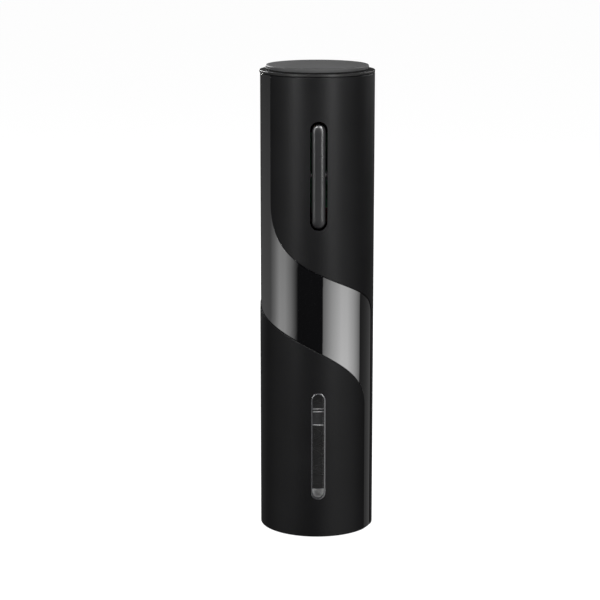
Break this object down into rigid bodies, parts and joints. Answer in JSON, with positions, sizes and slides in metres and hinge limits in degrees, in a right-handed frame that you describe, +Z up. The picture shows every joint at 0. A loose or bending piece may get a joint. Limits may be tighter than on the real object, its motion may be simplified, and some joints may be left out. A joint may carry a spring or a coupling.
{
  "type": "electric wine opener",
  "caption": "Slim cordless cylinder corkscrew with matt covers, a glossy S-shaped band, a rocker bar, a clear window and a lift-off battery cap.",
  "frame": {"origin": "middle of the foot's flat face, on the body's axis", "axes": "+Z up along the body's axis, -Y towards the side with the rocker bar and the window, +X to the right seen from there"},
  "size_m": [0.048, 0.048, 0.1975],
  "materials": {
    "matt_black": "fine matt, nearly smooth",
    "gloss_black": "polished piano black",
    "satin_black": "satin",
    "cap_grey": "fine matt",
    "frame_black": "as moulded",
    "inner_grey": "as moulded",
    "lens_clear": "clear polished acrylic",
    "rubber": "matt",
    "guide_silver": "bright plated",
    "steel": "polished",
    "worm_coat": "dark non-stick coating",
    "gear_white": "natural acetal",
    "board_green": "solder resist",
    "cell_sleeve": "plain printed sleeve without lettering",
    "nickel": "nickel plated",
    "wire_red": "PVC",
    "wire_black": "PVC"
  },
  "bodies": {
    "housing": {"base_ring": "frame_black", "base_screw_1": "steel", "base_screw_2": "steel", "base_screw_3": "steel", "battery_cell_front_left": "cell_sleeve", "battery_cell_front_right": "cell_sleeve", "battery_cell_rear_left": "cell_sleeve", "battery_cell_rear_right": "cell_sleeve", "battery_tube": "frame_black", "bottom_link": "nickel", "contact_spring_front_right": "nickel", "contact_spring_rear_left": "nickel", "cork_chamber": "inner_grey", "front_frame": "frame_black", "gearbox_floor": "steel", "gloss_band": "gloss_black", "lower_cover": "matt_black", "lower_switch": "frame_black", "minus_terminal": "nickel", "motor_can": "steel", "motor_end_cap": "inner_grey", "motor_plate": "steel", "motor_wire_black": "wire_black", "motor_wire_red": "wire_red", "neck_sleeve": "frame_black", "output_bush": "nickel", "plus_terminal": "nickel", "rear_cover": "matt_black", "rear_frame": "frame_black", "ring_gear": "gear_white", "rocker_pin": "steel", "stop_collar": "inner_grey", "switch_board": "board_green", "top_collar": "satin_black", "upper_cover": "matt_black", "upper_switch": "frame_black", "window_lens": "lens_clear"},
    "contact_disc": {"contact_disc": "frame_black", "top_link_left": "nickel", "top_link_right": "nickel", "contact_spring_front_left": "nickel", "contact_spring_rear_right": "nickel"},
    "cap": {"battery_cap": "cap_grey", "cap_seal": "rubber"},
    "rocker": {"rocker_button": "satin_black"},
    "upper_stem": {"upper_switch_stem": "wire_red"},
    "lower_stem": {"lower_switch_stem": "wire_red"},
    "rotor": {"motor_rotor": "steel", "motor_pinion": "nickel"},
    "first_carrier": {"first_carrier": "gear_white"},
    "worm": {"output_carrier": "gear_white", "worm_hub": "frame_black", "worm": "worm_coat"},
    "guide": {"guide_ring": "guide_silver"},
    "first_planet_1": {"first_planet_1": "gear_white"},
    "first_planet_2": {"first_planet_2": "gear_white"},
    "first_planet_3": {"first_planet_3": "gear_white"},
    "second_planet_1": {"second_planet_1": "gear_white"},
    "second_planet_2": {"second_planet_2": "gear_white"},
    "second_planet_3": {"second_planet_3": "gear_white"}
  },
  "joints": [
    {"name": "cap_lift", "type": "slide", "parent": "housing", "child": "contact_disc", "axis": [0, 0, 1], "range_m": [0, 0.04]},
    {"name": "cap_turn", "type": "hinge", "parent": "contact_disc", "child": "cap", "pos_m": [0, 0, 0.192], "axis": [0, 0, 1], "range_deg": [0, 45]},
    {"name": "rocker_tilt", "type": "hinge", "parent": "housing", "child": "rocker", "pos_m": [0, -0.0203, 0.154], "axis": [1, 0, 0], "range_deg": [-2, 2], "stiffness_Nm_per_rad": 0.9},
    {"name": "upper_stem_press", "type": "slide", "parent": "housing", "child": "upper_stem", "axis": [0, 1, 0], "range_m": [-0.0003, 0.0003]},
    {"name": "lower_stem_press", "type": "slide", "parent": "housing", "child": "lower_stem", "axis": [0, 1, 0], "range_m": [-0.0003, 0.0003]},
    {"name": "motor_spin", "type": "hinge", "parent": "housing", "child": "rotor", "pos_m": [0, 0, 0.115], "axis": [0, 0, 1], "continuous": true},
    {"name": "carrier_spin", "type": "hinge", "parent": "housing", "child": "first_carrier", "pos_m": [0, 0, 0.0955], "axis": [0, 0, 1], "continuous": true},
    {"name": "worm_spin", "type": "hinge", "parent": "housing", "child": "worm", "pos_m": [0, 0, 0.05], "axis": [0, 0, 1], "continuous": true},
    {"name": "guide_slide", "type": "slide", "parent": "housing", "child": "guide", "axis": [0, 0, 1], "range_m": [0, 0.028]},
    {"name": "first_planet_1_spin", "type": "hinge", "parent": "first_carrier", "child": "first_planet_1", "pos_m": [0.00945, 0, 0.0992], "axis": [0, 0, 1], "continuous": true},
    {"name": "first_planet_2_spin", "type": "hinge", "parent": "first_carrier", "child": "first_planet_2", "pos_m": [-0.00473, 0.00818, 0.0992], "axis": [0, 0, 1], "continuous": true},
    {"name": "first_planet_3_spin", "type": "hinge", "parent": "first_carrier", "child": "first_planet_3", "pos_m": [-0.00473, -0.00818, 0.0992], "axis": [0, 0, 1], "continuous": true},
    {"name": "second_planet_1_spin", "type": "hinge", "parent": "worm", "child": "second_planet_1", "pos_m": [0.00945, 0, 0.0921], "axis": [0, 0, 1], "continuous": true},
    {"name": "second_planet_2_spin", "type": "hinge", "parent": "worm", "child": "second_planet_2", "pos_m": [-0.00473, 0.00818, 0.0921], "axis": [0, 0, 1], "continuous": true},
    {"name": "second_planet_3_spin", "type": "hinge", "parent": "worm", "child": "second_planet_3", "pos_m": [-0.00473, -0.00818, 0.0921], "axis": [0, 0, 1], "continuous": true}
  ],
  "couplings": [
    {"joint": "upper_stem_press", "follows": "rocker_tilt", "m_per_rad": -0.008},
    {"joint": "lower_stem_press", "follows": "rocker_tilt", "m_per_rad": 0.008},
    {"joint": "carrier_spin", "follows": "motor_spin", "ratio": 0.21429},
    {"joint": "worm_spin", "follows": "motor_spin", "ratio": 0.045918},
    {"joint": "first_planet_1_spin", "follows": "motor_spin", "ratio": -0.58929},
    {"joint": "first_planet_2_spin", "follows": "motor_spin", "ratio": -0.58929},
    {"joint": "first_planet_3_spin", "follows": "motor_spin", "ratio": -0.58929},
    {"joint": "second_planet_1_spin", "follows": "motor_spin", "ratio": -0.12628},
    {"joint": "second_planet_2_spin", "follows": "motor_spin", "ratio": -0.12628},
    {"joint": "second_planet_3_spin", "follows": "motor_spin", "ratio": -0.12628}
  ]
}
